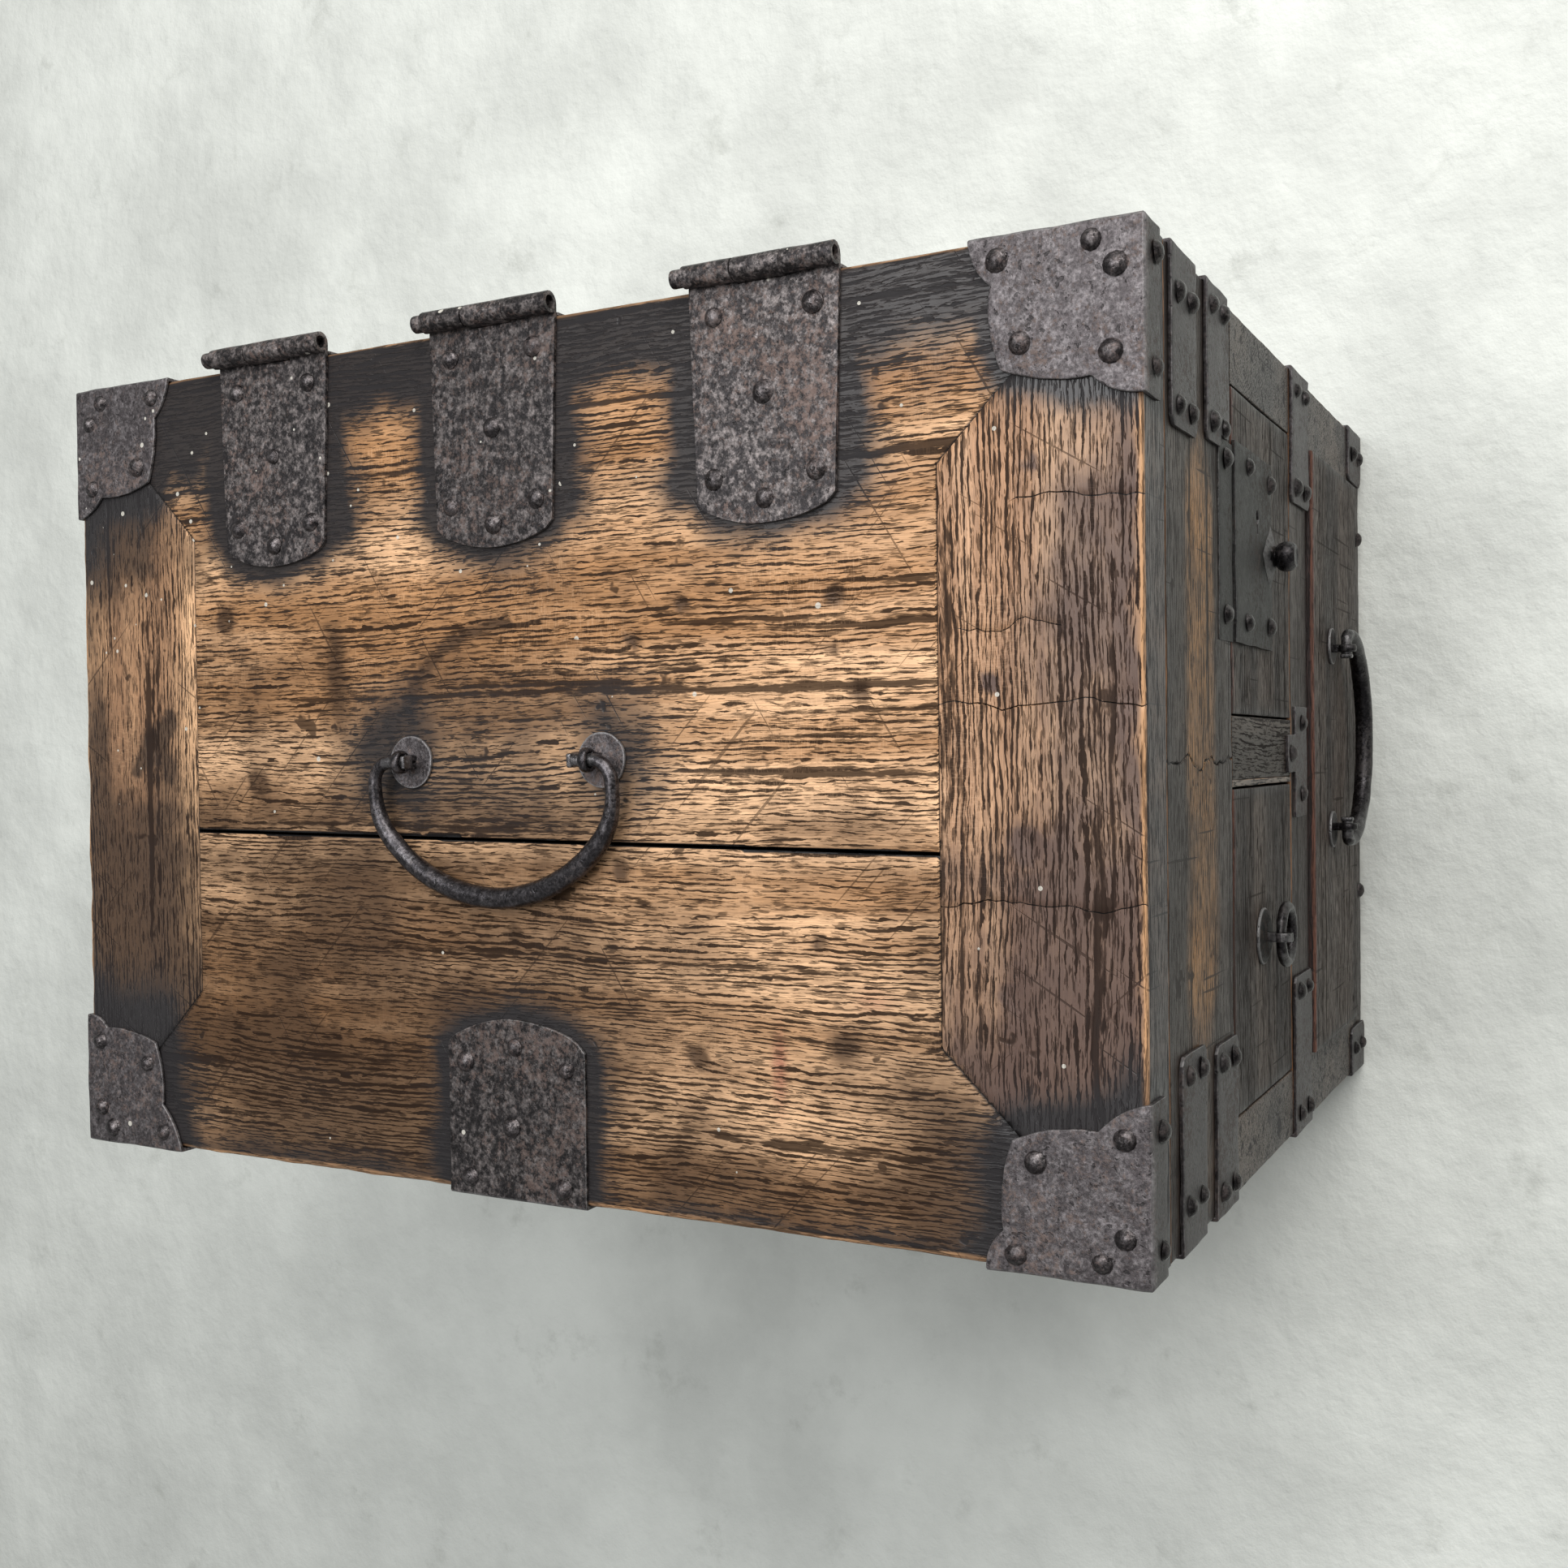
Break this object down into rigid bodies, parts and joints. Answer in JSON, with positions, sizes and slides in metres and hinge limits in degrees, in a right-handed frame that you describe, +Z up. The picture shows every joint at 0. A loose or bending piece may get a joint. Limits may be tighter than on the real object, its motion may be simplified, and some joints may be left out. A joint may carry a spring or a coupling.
{
  "type": "ship chest",
  "caption": "Small iron-bound ship's chest (funa dansu): a hinged lid with a swinging bail over a compartment, a locking drawer, a ring-pull drawer and a wide drawer below.",
  "frame": {"origin": "on the floor, under the middle of the wooden case", "axes": "+X towards the lid's hinges, the drawers face -Y, +Z up"},
  "size_m": [0.3417, 0.497, 0.4266],
  "materials": {
    "lid_wood": "worn zelkova, golden to dark brown with strong dark grain",
    "front_wood": "dark, dry, weathered zelkova",
    "drawer_front_wood": "dark, dry, weathered zelkova",
    "side_wood": "worn brown zelkova",
    "shim_wood": "lighter split strip",
    "inner_wood": "plain unfinished softwood",
    "strap_iron": "forged iron sheet with brown mottled rust",
    "hinge_iron": "forged iron sheet with brown mottled rust",
    "bail_iron": "dark forged iron, rubbed smooth",
    "lock_iron": "dark forged iron sheet",
    "nail_iron": "domed forged nail heads, rubbed on top"
  },
  "bodies": {
    "case": {"back_board": "side_wood", "back_corner_straps": "strap_iron", "base_rail": "front_wood", "bottom_board": "inner_wood", "case_nails": "nail_iron", "centre_stile": "front_wood", "compartment_floor": "inner_wood", "divider_board": "inner_wood", "drawer_runners": "inner_wood", "front_board": "front_wood", "front_corner_straps_left": "strap_iron", "front_corner_straps_right": "strap_iron", "hinge_case_leaves": "hinge_iron", "hinge_pins": "hinge_iron", "middle_rail": "front_wood", "rail_tee_strap": "strap_iron", "shelf_board": "inner_wood", "side_board_left": "side_wood", "side_board_right": "side_wood", "stile_shim": "shim_wood", "striker_plate": "lock_iron"},
    "lid": {"lid_board_left": "lid_wood", "lid_board_right": "lid_wood", "lid_front_batten": "lid_wood", "lid_back_batten": "lid_wood", "lid_corner_plate_front_left": "strap_iron", "lid_corner_plate_front_right": "strap_iron", "lid_corner_plate_back_left": "strap_iron", "lid_corner_plate_back_right": "strap_iron", "lid_lock_strap": "strap_iron", "lid_nails": "nail_iron", "hinge_lid_leaves": "hinge_iron", "lid_bail_eyes": "bail_iron", "lid_bail_washers": "bail_iron"},
    "lid_bail": {"lid_bail": "bail_iron"},
    "right_drawer": {"right_drawer_front": "drawer_front_wood", "right_drawer_sides": "inner_wood", "right_drawer_back": "inner_wood", "right_drawer_bottom": "inner_wood", "lock_plate": "lock_iron", "lock_plate_nails": "nail_iron", "lock_case": "lock_iron", "knob_plate": "lock_iron", "knob": "lock_iron"},
    "lock_bolt": {"lock_bolt": "lock_iron"},
    "left_drawer": {"left_drawer_front": "drawer_front_wood", "left_drawer_sides": "inner_wood", "left_drawer_back": "inner_wood", "left_drawer_bottom": "inner_wood", "ring_eye": "bail_iron", "ring_plate": "bail_iron"},
    "ring_pull": {"ring_pull": "bail_iron"},
    "bottom_drawer": {"bottom_drawer_front": "drawer_front_wood", "bottom_drawer_sides": "inner_wood", "bottom_drawer_back": "inner_wood", "bottom_drawer_bottom": "inner_wood", "drawer_bail_eyes": "bail_iron", "drawer_bail_washers": "bail_iron"},
    "drawer_bail": {"drawer_bail": "bail_iron"}
  },
  "joints": [
    {"name": "lid_hinge", "type": "hinge", "parent": "case", "child": "lid", "pos_m": [0.16905, 0, 0.41755], "axis": [0, 1, 0], "range_deg": [0, 260]},
    {"name": "lid_bail_swing", "type": "hinge", "parent": "lid", "child": "lid_bail", "pos_m": [0.0004, 0.007, 0.422], "axis": [0, 1, 0], "range_deg": [0, 170]},
    {"name": "right_drawer_slide", "type": "slide", "parent": "case", "child": "right_drawer", "axis": [0, -1, 0], "range_m": [0, 0.34]},
    {"name": "lock_bolt_slide", "type": "slide", "parent": "right_drawer", "child": "lock_bolt", "axis": [0, 0, 1], "range_m": [0, 0.008]},
    {"name": "left_drawer_slide", "type": "slide", "parent": "case", "child": "left_drawer", "axis": [0, -1, 0], "range_m": [0, 0.34]},
    {"name": "ring_swing", "type": "hinge", "parent": "left_drawer", "child": "ring_pull", "pos_m": [-0.073, -0.2467, 0.2465], "axis": [-1, 0, 0], "range_deg": [0, 170]},
    {"name": "bottom_drawer_slide", "type": "slide", "parent": "case", "child": "bottom_drawer", "axis": [0, -1, 0], "range_m": [0, 0.34]},
    {"name": "drawer_bail_swing", "type": "hinge", "parent": "bottom_drawer", "child": "drawer_bail", "pos_m": [0.0068, -0.2493, 0.102], "axis": [-1, 0, 0], "range_deg": [0, 170]}
  ]
}
